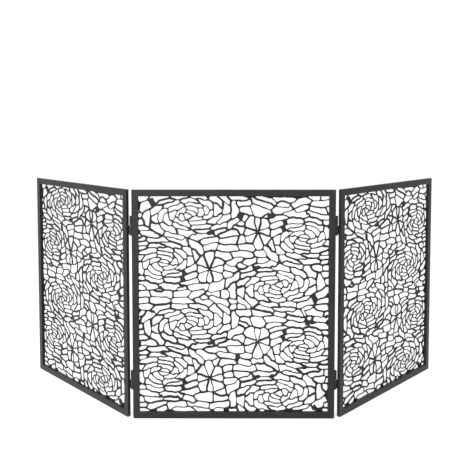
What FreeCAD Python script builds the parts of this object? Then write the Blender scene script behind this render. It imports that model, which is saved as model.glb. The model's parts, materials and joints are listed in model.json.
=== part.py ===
import FreeCAD, Part
import math
import os
import random

import Sketcher

# Folding three-panel fireplace screen, in millimetres.
# +X is to the right seen from the front, +Y is towards the fire, +Z is up.
# The origin is on the floor, under the middle of the centre panel's bottom rail.

Vector = FreeCAD.Vector
Rotation = FreeCAD.Rotation
Placement = FreeCAD.Placement

DIMENSIONS = [
    ("panel_height", 700, "height of every panel"),
    ("centre_width", 612, "width of the centre panel"),
    ("wing_width", 560, "width of each wing"),
    ("tube_face", 20, "tube size seen from the front"),
    ("tube_depth", 10, "tube size from front to back"),
    ("tube_wall", 1.5, "wall of the tube"),
    ("tube_edge_radius", 1.2, "rounding along the tube's long edges"),
    ("foot_radius", 5, "rounding of each panel's bottom corners"),
    ("sheet_thickness", 2, "thickness of the cut rose sheet"),
    ("sheet_lap", 12, "how far the sheet laps onto the back of the tubes"),
    ("pivot_setback", 1, "hinge axis behind the back of the sheet"),
    ("fold_angle", 46, "how far each wing stands folded back, in degrees"),
    ("hinge_height", 60, "height of one hinge"),
    ("hinge_from_top", 110, "middle of the upper hinge below the panel's top"),
    ("hinge_from_floor", 116, "middle of the lower hinge above the floor"),
    ("barrel_radius", 4, "outside radius of a hinge barrel"),
    ("barrel_clearance", 0.4, "gap between a barrel and the stile on either side"),
    ("barrel_round", 1.5, "rounding at a barrel's closed end"),
    ("barrel_end_wall", 4, "solid end beyond the pin's hole"),
    ("leaf_thickness", 2, "thickness of a hinge leaf"),
    ("leaf_clearance", 1, "gap between a leaf and the edge of the sheet"),
    ("leaf_inset", 4, "leaf shorter than its barrel"),
    ("pin_radius", 2.2, "radius of the hinge pin"),
    ("pin_clearance", 0.05, "radial running clearance round the pin"),
    ("pin_end_gap", 1, "room above the pin in the upper barrel"),
    ("washer_thickness", 1, "washer between the two barrels"),
    ("washer_radius", 3.6, "outside radius of the washer"),
    ("axial_play", 0.1, "play between washer and upper barrel"),
    ("fine_web", 2.9, "metal between the small petals in a rose"),
    ("bold_web", 5.5, "metal between the petals round a rose"),
    ("hole_overrun", 3, "how far the outer holes run behind the tubes"),
    ("pattern_period", 336, "height after which the roses repeat"),
]

doc = FreeCAD.newDocument("fireplace_screen")
dims = doc.addObject("Spreadsheet::Sheet", "Dimensions")
for line, (alias, number, meaning) in enumerate(DIMENSIONS, start=1):
    dims.set("A%d" % line, meaning)
    dims.set("B%d" % line, str(number))
    dims.setAlias("B%d" % line, alias)
doc.recompute()

nodes = {}


def size(alias):
    """The number in one cell of the dimension sheet."""
    return float(dims.get(alias))


def bind(item, prop, formula):
    """Tie a property of an item to a formula on the dimension sheet's cells."""
    item.setExpression(prop, formula)


def add_node(item, name, placement):
    item.Label = name
    item.Placement = placement
    nodes[name] = item
    return item


# ---------------------------------------------------------------- panel tubes

def origin_plane(body, role):
    return next(plane for plane in body.Origin.OriginFeatures if plane.Role == role)


def fix_point(sketch, geometry, end, along, up, name):
    """Hold one point of a sketch at formulas of its distance along and up from the origin."""
    axes = (("DistanceX", along, -2, "along"), ("DistanceY", up, -1, "up"))
    for kind, formula, axis, suffix in axes:
        if formula is None:
            sketch.addConstraint(Sketcher.Constraint("PointOnObject", geometry, end, axis))
            continue
        point = sketch.getPoint(geometry, end)
        current = point.x if kind == "DistanceX" else point.y
        number = sketch.addConstraint(
            Sketcher.Constraint(kind, -1, 1, geometry, end, current))
        sketch.renameConstraint(number, name + "_" + suffix)
        sketch.setExpression("Constraints." + name + "_" + suffix, formula)


def tube_outline(body, length_alias, rounded_start, rounded_end):
    """Front outline of a tube mitred at both ends, its outer corners rounded where asked."""
    length = size(length_alias)
    face = size("tube_face")
    radius = size("foot_radius")
    bite = radius * (1 - math.sqrt(0.5))
    total = "Dimensions." + length_alias
    across = "Dimensions.tube_face"
    turn = "Dimensions.foot_radius"
    bite_formula = turn + " * (1 - sqrt(0.5))"

    sketch = body.newObject("Sketcher::SketchObject", "Outline")
    sketch.AttachmentSupport = [(origin_plane(body, "XZ_Plane"), "")]
    sketch.MapMode = "FlatFace"

    def line(start, end):
        return sketch.addGeometry(Part.LineSegment(Vector(*start, 0), Vector(*end, 0)))

    def corner(centre, start_angle, end_angle):
        circle = Part.Circle(Vector(*centre, 0), Vector(0, 0, 1), radius)
        number = sketch.addGeometry(
            Part.ArcOfCircle(circle, math.radians(start_angle), math.radians(end_angle)))
        sketch.setExpression("Constraints[%d]" % sketch.addConstraint(
            Sketcher.Constraint("Radius", number, radius)), turn)
        return number

    low = (radius, 0) if rounded_start else (0, 0)
    high = (length - radius, 0) if rounded_end else (length, 0)
    start_mitre = (bite, bite) if rounded_start else (0, 0)
    end_mitre = (length - bite, bite) if rounded_end else (length, 0)

    outer = line(low, high)
    far_mitre = line(end_mitre, (length - face, face))
    inner = line((length - face, face), (face, face))
    near_mitre = line((face, face), start_mitre)
    for first, second in ((far_mitre, inner), (inner, near_mitre)):
        sketch.addConstraint(Sketcher.Constraint("Coincident", first, 2, second, 1))

    fix_point(sketch, inner, 1, total + " - " + across, across, "inner_far")
    fix_point(sketch, inner, 2, across, across, "inner_near")
    if rounded_end:
        arc = corner((length - radius, radius), -90, -45)
        fix_point(sketch, outer, 2, total + " - " + turn, None, "outer_far")
        fix_point(sketch, far_mitre, 1, total + " - " + bite_formula, bite_formula, "mitre_far")
        sketch.addConstraint(Sketcher.Constraint("Coincident", outer, 2, arc, 1))
        sketch.addConstraint(Sketcher.Constraint("Coincident", arc, 2, far_mitre, 1))
    else:
        fix_point(sketch, outer, 2, total, None, "outer_far")
        sketch.addConstraint(Sketcher.Constraint("Coincident", outer, 2, far_mitre, 1))
    if rounded_start:
        arc = corner((radius, radius), -135, -90)
        fix_point(sketch, outer, 1, turn, None, "outer_near")
        fix_point(sketch, near_mitre, 2, bite_formula, bite_formula, "mitre_near")
        sketch.addConstraint(Sketcher.Constraint("Coincident", outer, 1, arc, 2))
        sketch.addConstraint(Sketcher.Constraint("Coincident", arc, 1, near_mitre, 2))
    else:
        fix_point(sketch, outer, 1, None, None, "outer_near")
        sketch.addConstraint(Sketcher.Constraint("Coincident", outer, 1, near_mitre, 2))
    return sketch


def add_tube(name, length_alias, rounded_start, rounded_end, placement):
    """A mitred rectangular tube along its own X, outer side down, hollow between its mitres."""
    body = doc.addObject("PartDesign::Body", name)
    outline = tube_outline(body, length_alias, rounded_start, rounded_end)

    blank = body.newObject("PartDesign::Pad", "Blank")
    blank.Profile = outline
    blank.SideType = "Symmetric"
    bind(blank, "Length", "Dimensions.tube_depth")
    doc.recompute()

    long_edges = []
    for number, edge in enumerate(blank.Shape.Edges, start=1):
        straight = len(edge.Vertexes) == 2 and abs(edge.tangentAt(edge.FirstParameter).x) > 0.999
        if straight and edge.Length > size(length_alias) / 2:
            long_edges.append("Edge%d" % number)
    rounding = body.newObject("PartDesign::Fillet", "LongEdges")
    rounding.Base = (blank, long_edges)
    bind(rounding, "Radius", "Dimensions.tube_edge_radius")

    hollow = body.newObject("PartDesign::SubtractiveBox", "Hollow")
    bind(hollow, "Length", "Dimensions.%s - 2 * Dimensions.foot_radius" % length_alias)
    bind(hollow, "Width", "Dimensions.tube_depth - 2 * Dimensions.tube_wall")
    bind(hollow, "Height", "Dimensions.tube_face - 2 * Dimensions.tube_wall")
    bind(hollow, "Placement.Base.x", "Dimensions.foot_radius")
    bind(hollow, "Placement.Base.y", "Dimensions.tube_wall - Dimensions.tube_depth / 2")
    bind(hollow, "Placement.Base.z", "Dimensions.tube_wall")
    doc.recompute()
    return add_node(body, name, placement)


def add_frame(prefix, width_alias, panel):
    """The four tubes of one panel; panel places its bottom left corner."""
    width = size(width_alias)
    height = size("panel_height")
    upright = Rotation(Vector(0, 0, 1), Vector(0, -1, 0), Vector(1, 0, 0))
    leftward = Rotation(Vector(0, 0, 1), Vector(0, 1, 0), Vector(-1, 0, 0))
    overturned = Rotation(Vector(0, 1, 0), 180)
    add_tube(prefix + "_rail_bottom", width_alias, True, True, panel)
    add_tube(prefix + "_rail_top", width_alias, False, False,
             panel * Placement(Vector(width, 0, height), overturned))
    add_tube(prefix + "_stile_left", "panel_height", True, False,
             panel * Placement(Vector(0, 0, 0), upright))
    add_tube(prefix + "_stile_right", "panel_height", True, False,
             panel * Placement(Vector(width, 0, 0), leftward))


# ------------------------------------------------------- pattern of the roses

FULL_TURN = 2 * math.pi

# Places in one repeat, from its point of half-turn symmetry.
ROSE_PLACES = [(-130.6, 110.6), (-210.9, -37.9)]
STAR_PLACE = (-72.7, -57.9)
PATTERN_CENTRE = 514.8
ROSE_FLATNESS = 1.95
SAMPLE_SPACING = 7.5

# Rings of petals: half height, number of petals, first angle, share of the ring that a
# petal fills, how far it spirals outwards, and its unevenness.
ROSE_RINGS = [
    (5.0, 2, 0.3, 0.55, 0.30, 0.8),
    (17.0, 5, 0.9, 0.74, 0.22, 1.2),
    (29.5, 7, 0.2, 0.78, 0.16, 1.4),
    (42.5, 9, 0.6, 0.80, 0.13, 1.6),
    (56.0, 12, 0.1, 0.80, 0.11, 1.8),
    (71.0, 12, 0.5, 0.82, 0.09, 2.0),
]
ROSE_REACH = 79.0

# Petals of a star flower: direction in degrees, inner end and outer end.
STAR_PETALS = [
    (90, 12, 48), (44, 13, 37), (6, 10, 25), (-46, 12, 38),
    (-90, 9, 21), (-132, 12, 36), (174, 10, 25), (136, 13, 39),
]
STAR_REACH = 50.0


def between(low, high, share):
    return low + (high - low) * share


def clamp(number):
    return max(0.0, min(1.0, number))


class RosePattern:
    """Spines of petals over one opening; stretch narrows the whole pattern sideways."""

    def __init__(self, low, high, stretch):
        self.low = low
        self.high = high
        self.stretch = stretch
        self.roses = []
        self.stars = []
        self.petals = []
        period = size("pattern_period")
        repeats = int((high[1] - low[1]) / period) + 3
        for repeat in range(-repeats, repeats + 1):
            middle = PATTERN_CENTRE + repeat * period
            for turn in (1, -1):
                for kind, (x, z) in enumerate(ROSE_PLACES):
                    self.roses.append((turn * x * stretch, middle + turn * z, turn, kind))
                x, z = STAR_PLACE
                self.stars.append((turn * x * stretch, middle + turn * z, turn))
        margin = 2 * STAR_REACH
        self.roses = [rose for rose in self.roses if low[1] - 2 * margin < rose[1] < high[1] + 2 * margin]
        self.stars = [star for star in self.stars if low[1] - margin < star[1] < high[1] + margin]
        self.add_roses()
        self.add_stars()
        self.add_leaves()

    def rose_distance(self, x, z, rose):
        return math.hypot((x - rose[0]) / (ROSE_FLATNESS * self.stretch), z - rose[1])

    def nearest_rose(self, x, z):
        return min(self.rose_distance(x, z, rose) for rose in self.roses)

    def nearest_star(self, x, z):
        return min(math.hypot((x - star[0]) / self.stretch, z - star[1]) for star in self.stars)

    def keep_stretches(self, points, wanted):
        """Keep each unbroken stretch of wanted points as a petal of its own."""
        stretch = []
        for point in points + [None]:
            if point is not None and wanted(*point):
                stretch.append(point)
                continue
            if len(stretch) > 1:
                self.petals.append(stretch)
            stretch = []

    def add_roses(self):
        for rose in self.roses:
            chance = random.Random(5 + 17 * rose[3])

            def wanted(x, z):
                own = self.rose_distance(x, z, rose) <= self.nearest_rose(x, z) + 1e-6
                return own and self.nearest_star(x, z) > STAR_REACH

            for ring in ROSE_RINGS:
                for points in self.ring_petals(rose, ring, chance):
                    self.keep_stretches(points, wanted)

    def ring_petals(self, rose, ring, chance):
        half_height, count, phase, fill, swirl, unevenness = ring
        half_width = half_height * ROSE_FLATNESS
        spread = FULL_TURN / count
        petals = []
        for number in range(count):
            start = phase + (number + chance.uniform(-0.18, 0.18)) * spread
            sweep = spread * fill * chance.uniform(0.75, 1.1)
            swell = 1 + chance.uniform(-0.06, 0.06)
            chord = math.hypot(half_width * (math.cos(start + sweep) - math.cos(start)),
                               half_height * (math.sin(start + sweep) - math.sin(start)))
            steps = max(2, round(chord / SAMPLE_SPACING))
            points = []
            for step in range(steps + 1):
                share = step / steps
                angle = start + sweep * share
                reach = swell + swirl * (share - 0.5)
                ripple = unevenness * chance.uniform(-1, 1)
                along = (half_width * reach + ripple) * math.cos(angle)
                up = (half_height * reach + ripple) * math.sin(angle)
                points.append((rose[0] + rose[2] * along * self.stretch, rose[1] + rose[2] * up))
            petals.append(points)
        return petals

    def add_stars(self):
        for x, z, turn in self.stars:
            for direction, inner, outer in STAR_PETALS:
                angle = math.radians(direction)
                steps = 4
                points = []
                for step in range(steps + 1):
                    radius = turn * between(inner, outer, step / steps)
                    points.append((x + radius * math.cos(angle) * self.stretch,
                                   z + radius * math.sin(angle)))
                self.petals.append(points)

    def add_leaves(self):
        """Rows of long lying leaves fill what the roses and stars leave."""
        chance = random.Random(11)
        margin = 60.0

        def wanted(x, z):
            return self.nearest_rose(x, z) > ROSE_REACH and self.nearest_star(x, z) > STAR_REACH + 4

        z = self.low[1] - margin
        while z < self.high[1] + margin:
            x = self.low[0] / self.stretch - margin - chance.uniform(0, 50)
            while x < self.high[0] / self.stretch + margin:
                length = chance.uniform(30, 58)
                tilt = math.radians(chance.gauss(0, 16))
                bow = chance.uniform(-3, 3)
                steps = max(2, round(length / SAMPLE_SPACING))
                points = []
                for step in range(steps + 1):
                    share = step / steps - 0.5
                    along = x + length / 2 + share * length * math.cos(tilt)
                    up = z + share * length * math.sin(tilt) + bow * (1 - 4 * share * share)
                    points.append((along * self.stretch, up + chance.uniform(-1.8, 1.8)))
                self.keep_stretches(points, wanted)
                x += length + chance.uniform(10, 15)
            z += chance.uniform(17, 22)

    def half_web(self, x, z, first, second):
        """Half the metal between two petals: fine in a rose, bold round it and at a star."""
        distance = self.nearest_rose(x, z)
        share = clamp((distance - 22) / 40) * (1 - 0.5 * clamp((distance - 80) / 25))
        share = max(share, 1 - clamp((self.nearest_star(x, z) - 30) / 30))
        wander = 0.85 + 0.35 * math.sin(first * 1.7 + second * 1.7 + first * second)
        return between(size("fine_web"), size("bold_web") * wander, share) / 2

    def samples(self):
        """Every spine point near the opening, with the number of its petal."""
        margin = 60.0
        return [(x, z, number) for number, points in enumerate(self.petals) for x, z in points
                if self.low[0] - margin < x < self.high[0] + margin
                and self.low[1] - margin < z < self.high[1] + margin]


def clip(polygon, normal, limit, tag):
    """Keep the polygon's part where normal . point <= limit; the new side gets the tag."""
    kept = []
    count = len(polygon)
    for index in range(count):
        x, z, side_tag = polygon[index]
        next_x, next_z, _ = polygon[(index + 1) % count]
        excess = normal[0] * x + normal[1] * z - limit
        next_excess = normal[0] * next_x + normal[1] * next_z - limit
        if excess <= 0:
            kept.append((x, z, side_tag))
        if (excess <= 0) != (next_excess <= 0):
            share = excess / (excess - next_excess)
            crossing_tag = tag if excess <= 0 else side_tag
            kept.append((between(x, next_x, share), between(z, next_z, share), crossing_tag))
    return kept


def sample_territory(index, samples, grid, pitch, pattern):
    """The ground nearest to one sample, held back by half a web from other petals' ground."""
    x, z, petal = samples[index]
    low, high = pattern.low, pattern.high
    reach = 60.0
    polygon = [(low[0], low[1], -1), (high[0], low[1], -1), (high[0], high[1], -1), (low[0], high[1], -1)]
    walls = (((1, 0), x + reach), ((-1, 0), reach - x), ((0, 1), z + reach), ((0, -1), reach - z))
    for normal, limit in walls:
        polygon = clip(polygon, normal, limit, -1)
    home = (int(x // pitch), int(z // pitch))
    ring = 0
    while polygon:
        near = []
        for dx in range(-ring, ring + 1):
            for dz in range(-ring, ring + 1):
                if max(abs(dx), abs(dz)) == ring:
                    for other in grid.get((home[0] + dx, home[1] + dz), ()):
                        near.append((math.hypot(samples[other][0] - x, samples[other][1] - z), other))
        for distance, other in sorted(near):
            if distance < 1e-6:
                continue
            other_x, other_z, other_petal = samples[other]
            normal = ((other_x - x) / distance, (other_z - z) / distance)
            middle_x = (x + other_x) / 2
            middle_z = (z + other_z) / 2
            limit = normal[0] * middle_x + normal[1] * middle_z
            if other_petal != petal:
                limit -= pattern.half_web(middle_x, middle_z, petal, other_petal)
            polygon = clip(polygon, normal, limit, other)
            if not polygon:
                break
        furthest = max((math.hypot(px - x, pz - z) for px, pz, _ in polygon), default=0)
        if ring * pitch > 2 * furthest:
            break
        ring += 1
    return polygon


def territories(samples, pattern):
    pitch = 14.0
    grid = {}
    for index, (x, z, _) in enumerate(samples):
        grid.setdefault((int(x // pitch), int(z // pitch)), []).append(index)
    pieces = []
    for index, (x, z, _) in enumerate(samples):
        inside = pattern.low[0] <= x <= pattern.high[0] and pattern.low[1] <= z <= pattern.high[1]
        pieces.append(sample_territory(index, samples, grid, pitch, pattern) if inside else [])
    return pieces


def petal_outlines(samples, pieces):
    """The largest outline of each petal, walked across the sides that its own samples share."""

    def crossing(piece, edge):
        tag = pieces[piece][edge][2]
        if tag < 0 or samples[tag][2] != samples[piece][2]:
            return None
        sides = pieces[tag]
        return next(((tag, (back + 1) % len(sides)) for back, side in enumerate(sides)
                     if side[2] == piece), None)

    walked = set()
    largest = {}
    for first, polygon in enumerate(pieces):
        free = [edge for edge in range(len(polygon)) if crossing(first, edge) is None]
        if first in walked or not free:
            continue
        start = (first, free[0])
        place = start
        outline = []
        for _ in range(1000):
            piece, edge = place
            walked.add(piece)
            beyond = crossing(piece, edge)
            if beyond is None:
                outline.append(pieces[piece][edge][:2])
                place = (piece, (edge + 1) % len(pieces[piece]))
            else:
                place = beyond
            if place == start:
                break
        petal = samples[first][2]
        if outline_area(outline) > outline_area(largest.get(petal, [])):
            largest[petal] = outline
    return list(largest.values())


def outline_area(outline):
    pairs = zip(outline, (*outline[1:], *outline[:1]))
    return sum(x * next_z - next_x * z for (x, z), (next_x, next_z) in pairs) / 2


def spaced(outline, shortest):
    """Drop points that crowd the one before."""
    kept = []
    for point in outline:
        if not kept or math.dist(point, kept[-1]) > shortest:
            kept.append(point)
    while len(kept) > 1 and math.dist(kept[0], kept[-1]) <= shortest:
        kept.pop()
    return kept


def cornered(outline, corner):
    """Cut every corner off once, so that no two sides meet in a point."""
    result = []
    for before, point, after in zip(outline[-1:] + outline[:-1], outline, outline[1:] + outline[:1]):
        for neighbour in (before, after):
            share = min(corner / math.dist(point, neighbour), 0.35)
            result.append((between(point[0], neighbour[0], share),
                           between(point[1], neighbour[1], share)))
    return result


def simplified(outline, flatness):
    """Drop the point that changes the outline least, until each point left stands out enough."""
    kept = list(outline)
    while len(kept) > 4:
        heights = []
        for triangle in zip(kept[-1:] + kept[:-1], kept, kept[1:] + kept[:1]):
            heights.append(2 * abs(outline_area(triangle)) / math.dist(triangle[0], triangle[2]))
        if min(heights) > flatness:
            break
        kept.pop(heights.index(min(heights)))
    return kept


def flat_wire(outline, depth):
    """A closed upright wire at one depth from points along and up."""
    return Part.makePolygon([Vector(x, depth, z) for x, z in outline + outline[:1]])


def rose_sheet(width_alias):
    """A flat sheet with its rose cut-outs, lapped behind the tubes; X runs from mid-width."""
    face = size("tube_face")
    lap = size("sheet_lap")
    overrun = size("hole_overrun")
    shortest_side = 3.0
    corner = 2.8
    flatness = 0.8
    smallest_hole = 20.0
    half_opening = size(width_alias) / 2 - face
    centre_opening = size("centre_width") / 2 - face
    top_opening = size("panel_height") - face
    low = (-half_opening - overrun, face - overrun)
    high = (half_opening + overrun, top_opening + overrun)
    pattern = RosePattern(low, high, half_opening / centre_opening)
    samples = pattern.samples()
    outlines = petal_outlines(samples, territories(samples, pattern))
    depth = size("tube_depth") / 2
    rim = [(-half_opening - lap, face - lap), (half_opening + lap, face - lap),
           (half_opening + lap, top_opening + lap), (-half_opening - lap, top_opening + lap)]
    wires = [flat_wire(rim, depth)]
    for outline in outlines:
        plain = spaced(outline, shortest_side)
        if len(plain) > 2 and outline_area(plain) > smallest_hole:
            eased = simplified(cornered(plain, corner), flatness)
            wires.append(flat_wire(eased, depth).reversed())
    return Part.Face(wires).extrude(Vector(0, size("sheet_thickness"), 0))


def add_sheet(name, shape, width_alias, panel):
    item = doc.addObject("Part::Feature", name)
    item.Shape = shape
    add_node(item, name, panel * Placement(Vector(size(width_alias) / 2, 0, 0), Rotation()))


# --------------------------------------------------------------------- hinges

BARREL_LENGTH = "(Dimensions.hinge_height - Dimensions.washer_thickness) / 2"
BORE_LENGTH = BARREL_LENGTH + " - Dimensions.barrel_end_wall"
LEAF_LAP = "Dimensions.tube_face - Dimensions.sheet_lap - Dimensions.leaf_clearance"
LEAF_REACH = "Dimensions.barrel_radius + Dimensions.barrel_clearance + " + LEAF_LAP


def add_barrel(name, side, is_upper, placement):
    """Half a hinge: a barrel on the axis and its leaf, which lies on the stile on one side."""
    body = doc.addObject("PartDesign::Body", name)
    play = " - Dimensions.axial_play" if is_upper else ""
    low_end = "-Dimensions.hinge_height / 2"
    if is_upper:
        low_end = "Dimensions.washer_thickness / 2 + Dimensions.axial_play"

    barrel = body.newObject("PartDesign::AdditiveCylinder", "Barrel")
    bind(barrel, "Radius", "Dimensions.barrel_radius")
    bind(barrel, "Height", BARREL_LENGTH + play)
    bind(barrel, "Placement.Base.z", low_end)
    doc.recompute()

    closed_end = size("hinge_height") / 2 * (1 if is_upper else -1)
    end_edges = ["Edge%d" % number for number, edge in enumerate(barrel.Shape.Edges, start=1)
                 if edge.Closed and abs(edge.CenterOfMass.z - closed_end) < 0.01]
    rounding = body.newObject("PartDesign::Fillet", "ClosedEnd")
    rounding.Base = (barrel, end_edges)
    bind(rounding, "Radius", "Dimensions.barrel_round")

    leaf = body.newObject("PartDesign::AdditiveBox", "Leaf")
    bind(leaf, "Length", LEAF_REACH)
    bind(leaf, "Width", "Dimensions.leaf_thickness")
    bind(leaf, "Height", BARREL_LENGTH + play + " - Dimensions.leaf_inset")
    if side < 0:
        bind(leaf, "Placement.Base.x", "-(" + LEAF_REACH + ")")
    bind(leaf, "Placement.Base.y", "-Dimensions.sheet_thickness - Dimensions.pivot_setback")
    bind(leaf, "Placement.Base.z", low_end if is_upper else low_end + " + Dimensions.leaf_inset")

    bore = body.newObject("PartDesign::SubtractiveCylinder", "PinHole")
    if is_upper:
        bind(bore, "Radius", "Dimensions.pin_radius + Dimensions.pin_clearance")
        bind(bore, "Height", BORE_LENGTH + " + Dimensions.pin_end_gap")
        bind(bore, "Placement.Base.z", "Dimensions.washer_thickness / 2")
    else:
        bind(bore, "Radius", "Dimensions.pin_radius")
        bind(bore, "Height", BORE_LENGTH)
        bind(bore, "Placement.Base.z", "-Dimensions.washer_thickness / 2 - (" + BORE_LENGTH + ")")
    doc.recompute()
    add_node(body, name, placement)


def add_pin(name, placement):
    """The pin, fast in the lower barrel and free in the upper one."""
    body = doc.addObject("PartDesign::Body", name)
    rod = body.newObject("PartDesign::AdditiveCylinder", "Rod")
    bind(rod, "Radius", "Dimensions.pin_radius")
    bind(rod, "Height", "2 * (" + BORE_LENGTH + ") + Dimensions.washer_thickness")
    bind(rod, "Placement.Base.z", "-Dimensions.washer_thickness / 2 - (" + BORE_LENGTH + ")")
    add_node(body, name, placement)


def add_washer(name, placement):
    body = doc.addObject("PartDesign::Body", name)
    disc = body.newObject("PartDesign::AdditiveCylinder", "Disc")
    bind(disc, "Radius", "Dimensions.washer_radius")
    hole = body.newObject("PartDesign::SubtractiveCylinder", "Hole")
    bind(hole, "Radius", "Dimensions.pin_radius + Dimensions.pin_clearance")
    for item in (disc, hole):
        bind(item, "Height", "Dimensions.washer_thickness")
        bind(item, "Placement.Base.z", "-Dimensions.washer_thickness / 2")
    add_node(body, name, placement)


def add_hinge(prefix, centre_side, axis_x, height, fold):
    """One hinge; its lower half, pin and washer turn with the wing by the fold's rotation."""
    axis_y = size("tube_depth") / 2 + size("sheet_thickness") + size("pivot_setback")
    at_rest = Placement(Vector(axis_x, axis_y, height), Rotation())
    folded = Placement(Vector(axis_x, axis_y, height), fold)
    add_barrel(prefix + "_barrel_upper", centre_side, True, at_rest)
    add_barrel(prefix + "_barrel_lower", -centre_side, False, folded)
    add_pin(prefix + "_pin", folded)
    add_washer(prefix + "_washer", folded)


# ------------------------------------------------------------------- assembly

half_centre = size("centre_width") / 2
gap = 2 * (size("barrel_radius") + size("barrel_clearance"))
pivot_x = half_centre + gap / 2
pivot_y = size("tube_depth") / 2 + size("sheet_thickness") + size("pivot_setback")

centre_panel = Placement(Vector(-half_centre, 0, 0), Rotation())
centre_sheet = rose_sheet("centre_width")
wing_sheet = rose_sheet("wing_width")
add_frame("centre", "centre_width", centre_panel)
add_sheet("centre_rose_sheet", centre_sheet, "centre_width", centre_panel)

for wing, side in (("left", -1), ("right", 1)):
    fold = Rotation(Vector(0, 0, 1), side * size("fold_angle"))
    pivot = Vector(side * pivot_x, pivot_y, 0)
    flat_corner = Vector(half_centre + gap, 0, 0)
    if side < 0:
        flat_corner = Vector(-half_centre - gap - size("wing_width"), 0, 0)
    wing_panel = Placement(pivot, fold) * Placement(flat_corner - pivot, Rotation())
    add_frame(wing + "_wing", "wing_width", wing_panel)
    add_sheet(wing + "_wing_rose_sheet", wing_sheet, "wing_width", wing_panel)
    hinge_heights = (("top", size("panel_height") - size("hinge_from_top")),
                     ("bottom", size("hinge_from_floor")))
    for place, height in hinge_heights:
        add_hinge("hinge_%s_%s" % (wing, place), -side, side * pivot_x, height, fold)

doc.recompute()

# --------------------------------------------------------------------- export

for item in doc.Objects:
    if "Invalid" in item.State or "Error" in item.State:
        raise RuntimeError("%s did not compute: %s" % (item.Label, item.State))
for name, item in nodes.items():
    if item.Shape.isNull() or not item.Shape.isValid() or item.Shape.Volume <= 0:
        raise RuntimeError("%s has no valid solid" % name)

os.makedirs("parts", exist_ok=True)
for name, item in nodes.items():
    item.Shape.exportStep("parts/%s.step" % name)
print("%d nodes written" % len(nodes))
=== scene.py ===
import json
import math
import random

import bmesh
import bpy
from mathutils import Matrix, Vector


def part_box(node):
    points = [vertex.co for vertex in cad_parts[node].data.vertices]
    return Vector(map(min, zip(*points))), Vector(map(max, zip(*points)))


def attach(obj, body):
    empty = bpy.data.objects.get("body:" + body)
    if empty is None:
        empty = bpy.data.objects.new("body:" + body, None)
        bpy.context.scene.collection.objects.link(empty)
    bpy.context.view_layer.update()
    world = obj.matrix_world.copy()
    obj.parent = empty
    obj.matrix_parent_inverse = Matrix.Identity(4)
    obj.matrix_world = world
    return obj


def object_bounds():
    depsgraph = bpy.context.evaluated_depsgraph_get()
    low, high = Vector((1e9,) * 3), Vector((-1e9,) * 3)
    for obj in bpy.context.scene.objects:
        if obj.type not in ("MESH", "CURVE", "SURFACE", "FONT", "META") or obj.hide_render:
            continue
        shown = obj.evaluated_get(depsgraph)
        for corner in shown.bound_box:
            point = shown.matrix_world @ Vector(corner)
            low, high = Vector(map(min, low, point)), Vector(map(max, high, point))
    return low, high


# Folding fireplace screen: CAD tubes, rose sheets and hinges, with weld beads and finishes.
# Everything is in metres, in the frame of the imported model. Powers are in watts.

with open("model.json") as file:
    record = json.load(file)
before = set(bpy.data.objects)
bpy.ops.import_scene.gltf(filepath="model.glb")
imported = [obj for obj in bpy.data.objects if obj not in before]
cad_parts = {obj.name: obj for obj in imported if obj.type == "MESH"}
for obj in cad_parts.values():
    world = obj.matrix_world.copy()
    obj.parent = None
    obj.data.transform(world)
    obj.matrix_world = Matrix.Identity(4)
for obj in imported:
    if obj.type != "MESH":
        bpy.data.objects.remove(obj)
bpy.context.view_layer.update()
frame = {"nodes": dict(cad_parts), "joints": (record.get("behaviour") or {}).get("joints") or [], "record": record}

MM = 0.001

# Sizes of the CAD parts that the weld beads follow.
TUBE_FACE = 20 * MM
TUBE_BACK = 5 * MM
SHEET_EDGE = 8 * MM
LEAF_INSET = 4 * MM
FOLD_ANGLE = math.radians(46.0)

# A bead is a row of half-round sections, rippled along its length and thinner at its ends.
BEAD_SECTION_PITCH = 0.45 * MM
LEAST_BEAD_SECTIONS = 6
BEAD_ARC_POINTS = 7
RIPPLE_DEPTH = 0.13
RIPPLE_STEP = 2.1
RIPPLE_CHANCE = 0.05
LEAST_TAPER = 0.4
TAPER_POWER = 6
WELD_PLANE = TUBE_BACK - 0.1 * MM

# The beads along the mitres, the tacks along the sheets' edges and the beads on the leaves.
MITRE_RADIUS = 1.1 * MM
MITRE_RISE = 0.7 * MM
MITRE_START = 1.92 * MM
MITRE_END = SHEET_EDGE - 0.6 * MM
TACK_RADIUS = 1.5 * MM
TACK_RISE = 1.8 * MM
TACK_LENGTH = 11.0 * MM
TACK_PITCH = 105.0 * MM
SHORTEST_TACK = 0.85
LONGEST_TACK = 1.1
LEAF_BEAD_RADIUS = 1.3 * MM
LEAF_BEAD_RISE = 1.5 * MM
LEAF_BEAD_START = 1.6 * MM
LEAF_BEAD_END = 6.4 * MM

# The look of the coats' painted edge highlights, and the studio.
EDGE_RADIUS = 0.9 * MM
EDGE_SAMPLES = 4
EDGE_HIGHLIGHT_BELOW = 0.80
EDGE_FLAT_ABOVE = 0.985
# Colour of the painted highlight on the coats' edges.
EDGE_HIGHLIGHT_COLOUR = (0.085, 0.087, 0.088)
WHITE = (1.0, 1.0, 1.0)
BLACK = (0.0, 0.0, 0.0)
FLOOR_REACH = 14.0
CAMERA_PLACE = (0.0088, -1.9675, 0.9042)
CAMERA_TILT = math.radians(90.0 - 3.34)
CAMERA_TURN = math.radians(0.14)

# A colour Mix node shares its socket names with its number twin, so its sockets go by number.
MIX_FACTOR = 0
MIX_FIRST = 6
MIX_SECOND = 7
MIX_RESULT = 2


# ------------------------------------------------------------------ materials

def node_material(name):
    """A new node material, with its node tree and its Principled shader."""
    material = bpy.data.materials.new(name)
    material.use_nodes = True
    tree = material.node_tree
    return material, tree, tree.nodes["Principled BSDF"]


def link(tree, source, source_socket, target, target_socket):
    tree.links.new(source.outputs[source_socket], target.inputs[target_socket])


def noise_node(tree, coordinates, scale, detail, roughness):
    noise = tree.nodes.new("ShaderNodeTexNoise")
    noise.inputs["Scale"].default_value = scale
    noise.inputs["Detail"].default_value = detail
    noise.inputs["Roughness"].default_value = roughness
    link(tree, coordinates, "Object", noise, "Vector")
    return noise


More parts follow.
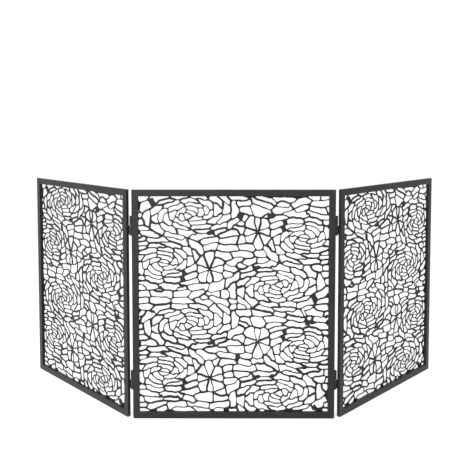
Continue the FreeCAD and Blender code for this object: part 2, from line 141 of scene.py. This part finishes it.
def ramp_node(tree, source, socket, low_stop, high_stop):
    """A colour ramp between two stops, each a position and a colour."""
    ramp = tree.nodes.new("ShaderNodeValToRGB")
    for element, (position, colour) in zip(ramp.color_ramp.elements, (low_stop, high_stop)):
        element.position = position
        element.color = (*colour, 1.0)
    link(tree, source, socket, ramp, "Fac")
    return ramp


def vary_gloss(tree, shader, noise, low_stop, high_stop):
    """Roughness that follows a noise between two stops, each a position and a roughness."""
    low, high = ((position, (roughness,) * 3) for position, roughness in (low_stop, high_stop))
    gloss = ramp_node(tree, noise, "Fac", low, high)
    link(tree, gloss, "Color", shader, "Roughness")


def bump_node(tree, height, strength, distance, below=None):
    bump = tree.nodes.new("ShaderNodeBump")
    bump.inputs["Strength"].default_value = strength
    bump.inputs["Distance"].default_value = distance
    link(tree, height, "Fac", bump, "Height")
    if below is not None:
        link(tree, below, "Normal", bump, "Normal")
    return bump


def edge_ramp(tree):
    """White on edges and black on flats, from how far a rounded normal leans off the true one: the mask of the
    painted edge highlight.
    """
    rounded = tree.nodes.new("ShaderNodeBevel")
    rounded.samples = EDGE_SAMPLES
    rounded.inputs["Radius"].default_value = EDGE_RADIUS
    geometry = tree.nodes.new("ShaderNodeNewGeometry")
    facing = tree.nodes.new("ShaderNodeVectorMath")
    facing.operation = "DOT_PRODUCT"
    link(tree, rounded, "Normal", facing, 0)
    link(tree, geometry, "Normal", facing, 1)
    return ramp_node(tree, facing, "Value", (EDGE_HIGHLIGHT_BELOW, WHITE), (EDGE_FLAT_ABOVE, BLACK))


def powder_coat(name, dark, light, roughness, specular):
    """Charcoal powder coat: fine grain, slow colour drift, and a painted highlight that makes the edges a little
    lighter.
    """
    material, tree, shader = node_material(name)
    coordinates = tree.nodes.new("ShaderNodeTexCoord")
    drift = noise_node(tree, coordinates, scale=9.0, detail=3.0, roughness=0.55)
    grain = noise_node(tree, coordinates, scale=1500.0, detail=2.0, roughness=0.6)
    peel = noise_node(tree, coordinates, scale=420.0, detail=1.0, roughness=0.4)
    colour = ramp_node(tree, drift, "Fac", (0.3, dark), (0.7, light))

    # Painted highlight: rounded edges are mixed towards a lighter colour, where they would catch the light.
    edge_highlight = tree.nodes.new("ShaderNodeMath")
    edge_highlight.operation = "MULTIPLY"
    link(tree, edge_ramp(tree), "Color", edge_highlight, 0)
    link(tree, drift, "Fac", edge_highlight, 1)
    highlighted = tree.nodes.new("ShaderNodeMix")
    highlighted.data_type = "RGBA"
    highlighted.inputs[MIX_SECOND].default_value = (*EDGE_HIGHLIGHT_COLOUR, 1.0)
    link(tree, edge_highlight, "Value", highlighted, MIX_FACTOR)
    link(tree, colour, "Color", highlighted, MIX_FIRST)
    link(tree, highlighted, MIX_RESULT, shader, "Base Color")

    vary_gloss(tree, shader, grain, (0.35, roughness - 0.06), (0.65, roughness + 0.07))
    soft = bump_node(tree, peel, strength=0.25, distance=0.06 * MM)
    fine = bump_node(tree, grain, strength=0.35, distance=0.035 * MM, below=soft)
    link(tree, fine, "Normal", shader, "Normal")
    shader.inputs["Specular IOR Level"].default_value = specular
    return material


def turned_metal(name, dark, light, roughness):
    """Bare turned metal: fine rings about the upright axis and a slightly uneven tone."""
    material, tree, shader = node_material(name)
    coordinates = tree.nodes.new("ShaderNodeTexCoord")
    rings = tree.nodes.new("ShaderNodeTexWave")
    rings.bands_direction = "Z"
    rings.inputs["Scale"].default_value = 900.0
    rings.inputs["Distortion"].default_value = 1.5
    link(tree, coordinates, "Object", rings, "Vector")
    tone = noise_node(tree, coordinates, scale=260.0, detail=3.0, roughness=0.6)
    colour = ramp_node(tree, tone, "Fac", (0.3, dark), (0.7, light))
    link(tree, colour, "Color", shader, "Base Color")
    vary_gloss(tree, shader, tone, (0.3, roughness - 0.06), (0.7, roughness + 0.08))
    groove = bump_node(tree, rings, strength=0.3, distance=0.02 * MM)
    link(tree, groove, "Normal", shader, "Normal")
    shader.inputs["Metallic"].default_value = 1.0
    return material


def studio_floor():
    """Matt pale floor with a barely visible cloudiness, which also glows a little."""
    material, tree, shader = node_material("pale_floor")
    coordinates = tree.nodes.new("ShaderNodeTexCoord")
    cloud = noise_node(tree, coordinates, scale=1.5, detail=2.0, roughness=0.5)
    colour = ramp_node(tree, cloud, "Fac", (0.3, (0.28, 0.28, 0.28)), (0.7, (0.31, 0.31, 0.31)))
    link(tree, colour, "Color", shader, "Base Color")
    shader.inputs["Roughness"].default_value = 0.9
    shader.inputs["Specular IOR Level"].default_value = 0.1
    shader.inputs["Emission Color"].default_value = (*WHITE, 1.0)
    shader.inputs["Emission Strength"].default_value = 0.70
    return material


FINISHES = {
    "frame_powder_coat": powder_coat(
        "frame_powder_coat", dark=(0.008, 0.0084, 0.0087), light=(0.011, 0.0115, 0.0115),
        roughness=0.38, specular=0.25),
    "sheet_powder_coat": powder_coat(
        "sheet_powder_coat", dark=(0.008, 0.0085, 0.009), light=(0.011, 0.0115, 0.012),
        roughness=0.50, specular=0.20),
    "hinge_powder_coat": powder_coat(
        "hinge_powder_coat", dark=(0.014, 0.0145, 0.015), light=(0.019, 0.0195, 0.020),
        roughness=0.36, specular=0.40),
    "hinge_pin_steel": turned_metal(
        "hinge_pin_steel", dark=(0.46, 0.46, 0.47), light=(0.60, 0.60, 0.61), roughness=0.30),
    "washer_brass": turned_metal(
        "washer_brass", dark=(0.58, 0.42, 0.17), light=(0.74, 0.56, 0.26), roughness=0.32),
}


def finish_cad_nodes():
    """Every CAD node keeps its mesh and takes the material of its slot in the record."""
    for row in frame["record"]["subparts"]:
        node = frame["nodes"][row["node"]]
        node.data.materials.clear()
        node.data.materials.append(FINISHES[row["material_slot"]])


# ----------------------------------------------------------------- weld beads

def panel_width(body):
    low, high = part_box(body + "_rail_bottom")
    if body == "centre":
        return high.x - low.x
    depth = 2 * TUBE_BACK
    return (high.x - low.x - depth * math.sin(FOLD_ANGLE)) / math.cos(FOLD_ANGLE)


def panel_place(body):
    """Matrix from a panel's own frame (bottom left corner, X across, Z up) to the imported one."""
    low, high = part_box("centre_rail_bottom")
    if body == "centre":
        return Matrix.Translation((low.x, 0.0, low.z))
    joint = next(joint for joint in frame["joints"] if joint["child"] == body)
    pivot = Vector(joint["pos_m"])
    if pivot.x > 0:
        side = 1
        edge = high.x + 2 * (pivot.x - high.x)
    else:
        side = -1
        edge = low.x - 2 * (low.x - pivot.x) - panel_width(body)
    turn = Matrix.Rotation(side * FOLD_ANGLE, 4, "Z")
    return (Matrix.Translation(pivot) @ turn @ Matrix.Translation(-pivot)
            @ Matrix.Translation((edge, 0.0, low.z)))


def add_bead(vertices, faces, ends, radius, rise, chance):
    """A closed, rippled ridge of weld metal between two (x, z) ends on the tubes' backs."""
    start, end = (Vector((x, WELD_PLANE, z)) for x, z in ends)
    along = end - start
    across = along.cross(Vector((0.0, 1.0, 0.0))).normalized()
    sections = max(LEAST_BEAD_SECTIONS, round(along.length / BEAD_SECTION_PITCH))
    first = len(vertices)
    for section in range(sections + 1):
        share = section / sections
        ripple = (1.0 + RIPPLE_DEPTH * math.sin(section * RIPPLE_STEP)
                  + chance.uniform(-RIPPLE_CHANCE, RIPPLE_CHANCE))
        taper = math.sqrt(1.0 - (2.0 * share - 1.0) ** TAPER_POWER)
        scale = max(LEAST_TAPER, taper) * ripple
        for point in range(BEAD_ARC_POINTS):
            angle = math.pi * point / (BEAD_ARC_POINTS - 1)
            vertices.append(start + along * share
                            + across * (radius * scale * math.cos(angle))
                            + Vector((0.0, rise * scale * math.sin(angle), 0.0)))
    for section in range(sections):
        ring = first + section * BEAD_ARC_POINTS
        following_ring = ring + BEAD_ARC_POINTS
        for point in range(BEAD_ARC_POINTS):
            following = (point + 1) % BEAD_ARC_POINTS
            faces.append((ring + point, following_ring + point,
                          following_ring + following, ring + following))
    last = first + sections * BEAD_ARC_POINTS
    faces.append(tuple(range(first, first + BEAD_ARC_POINTS)))
    faces.append(tuple(range(last + BEAD_ARC_POINTS - 1, last - 1, -1)))


def add_mitre_beads(vertices, faces, width, height, chance):
    """A bead along each mitre, from near the frame's corner to just short of the sheet."""
    for x, inward in ((0.0, 1), (width, -1)):
        for z, up in ((0.0, 1), (height, -1)):
            ends = [(x + inward * reach, z + up * reach) for reach in (MITRE_START, MITRE_END)]
            add_bead(vertices, faces, ends, MITRE_RADIUS, MITRE_RISE, chance)


def add_sheet_tacks(vertices, faces, width, height, chance):
    """Short beads that hold the sheet's edge to the backs of the tubes."""
    for length, other, horizontal in ((width, height, True), (height, width, False)):
        count = round((length - 2 * TUBE_FACE) / TACK_PITCH)
        step = (length - 2 * TUBE_FACE) / count
        for number in range(count):
            middle = TUBE_FACE + (number + 0.5) * step
            for edge in (SHEET_EDGE, other - SHEET_EDGE):
                ends = []
                for half in (-TACK_LENGTH / 2, TACK_LENGTH / 2):
                    along = middle + half * chance.uniform(SHORTEST_TACK, LONGEST_TACK)
                    ends.append((along, edge) if horizontal else (edge, along))
                add_bead(vertices, faces, ends, TACK_RADIUS, TACK_RISE, chance)


def add_leaf_beads(vertices, faces, body, width, chance):
    """A short bead on the stile's back for each of this panel's hinge leaves."""
    for side in ("left", "right"):
        if body not in ("centre", side + "_wing"):
            continue
        half = "upper" if body == "centre" else "lower"
        outer_edge = 0.0 if (side == "left") == (body == "centre") else width
        inward = 1 if outer_edge == 0.0 else -1
        for place in ("top", "bottom"):
            low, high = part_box("hinge_%s_%s_barrel_%s" % (side, place, half))
            z = high.z - LEAF_INSET if half == "upper" else low.z + LEAF_INSET
            ends = [(outer_edge + inward * reach, z) for reach in (LEAF_BEAD_START, LEAF_BEAD_END)]
            add_bead(vertices, faces, ends, LEAF_BEAD_RADIUS, LEAF_BEAD_RISE, chance)


def face_outward(mesh):
    """Point every face of closed shells outward, and shade them smooth."""
    shells = bmesh.new()
    shells.from_mesh(mesh)
    bmesh.ops.recalc_face_normals(shells, faces=shells.faces)
    shells.to_mesh(mesh)
    shells.free()
    mesh.polygons.foreach_set("use_smooth", [True] * len(mesh.polygons))


def make_welds(body):
    """All of a panel's beads, as one piece that moves with the panel."""
    low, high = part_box(body + "_stile_left")
    width = panel_width(body)
    height = high.z - low.z
    chance = random.Random(len(body))
    vertices = []
    faces = []
    add_mitre_beads(vertices, faces, width, height, chance)
    add_sheet_tacks(vertices, faces, width, height, chance)
    add_leaf_beads(vertices, faces, body, width, chance)
    mesh = bpy.data.meshes.new(body + "_weld_beads")
    mesh.from_pydata(vertices, [], faces)
    mesh.transform(panel_place(body))
    face_outward(mesh)
    mesh.materials.append(FINISHES["frame_powder_coat"])
    beads = bpy.data.objects.new(body + "_weld_beads", mesh)
    bpy.context.scene.collection.objects.link(beads)
    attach(beads, body)


# ---------------------------------------------------------------------- stage

def make_floor():
    low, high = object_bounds()
    middle = (low + high) / 2
    corners = [(middle.x + across * FLOOR_REACH, middle.y + back * FLOOR_REACH, low.z)
               for across, back in ((-1, -1), (1, -1), (1, 1), (-1, 1))]
    mesh = bpy.data.meshes.new("studio_floor")
    mesh.from_pydata(corners, [], [(0, 1, 2, 3)])
    mesh.materials.append(studio_floor())
    floor = bpy.data.objects.new("studio_floor", mesh)
    bpy.context.scene.collection.objects.link(floor)


def make_world():
    """Even white light from all around, which is also the picture's background."""
    world = bpy.data.worlds.new("studio")
    world.use_nodes = True
    background = world.node_tree.nodes["Background"]
    background.inputs["Color"].default_value = (*WHITE, 1.0)
    background.inputs["Strength"].default_value = 1.0
    bpy.context.scene.world = world


def area_light(name, place, target, size, power):
    """A square lamp that faces its target."""
    light = bpy.data.lights.new(name, "AREA")
    light.shape = "SQUARE"
    light.size = size
    light.energy = power
    lamp = bpy.data.objects.new(name, light)
    lamp.location = place
    lamp.rotation_mode = "QUATERNION"
    lamp.rotation_quaternion = (Vector(target) - Vector(place)).to_track_quat("-Z", "Y")
    bpy.context.scene.collection.objects.link(lamp)


def make_lights():
    area_light("key_left", place=(-1.35, -2.0, 1.75), target=(-0.25, 0.0, 0.6),
               size=0.6, power=120.0)
    area_light("overhead", place=(0.0, 0.2, 3.4), target=(0.0, 0.1, 0.0),
               size=3.5, power=30.0)


def make_camera():
    """A normal lens in front of the screen, a little above its top and tilted down a little."""
    camera = bpy.data.cameras.new("camera")
    camera.sensor_width = 36.0
    camera.lens = 50.6
    camera.shift_y = -0.16
    eye = bpy.data.objects.new("camera", camera)
    eye.location = CAMERA_PLACE
    eye.rotation_euler = (CAMERA_TILT, 0.0, CAMERA_TURN)
    bpy.context.scene.collection.objects.link(eye)
    bpy.context.scene.camera = eye


bpy.context.scene.view_settings.view_transform = "Standard"

finish_cad_nodes()
for panel in ("centre", "left_wing", "right_wing"):
    make_welds(panel)
make_floor()
make_world()
make_lights()
make_camera()
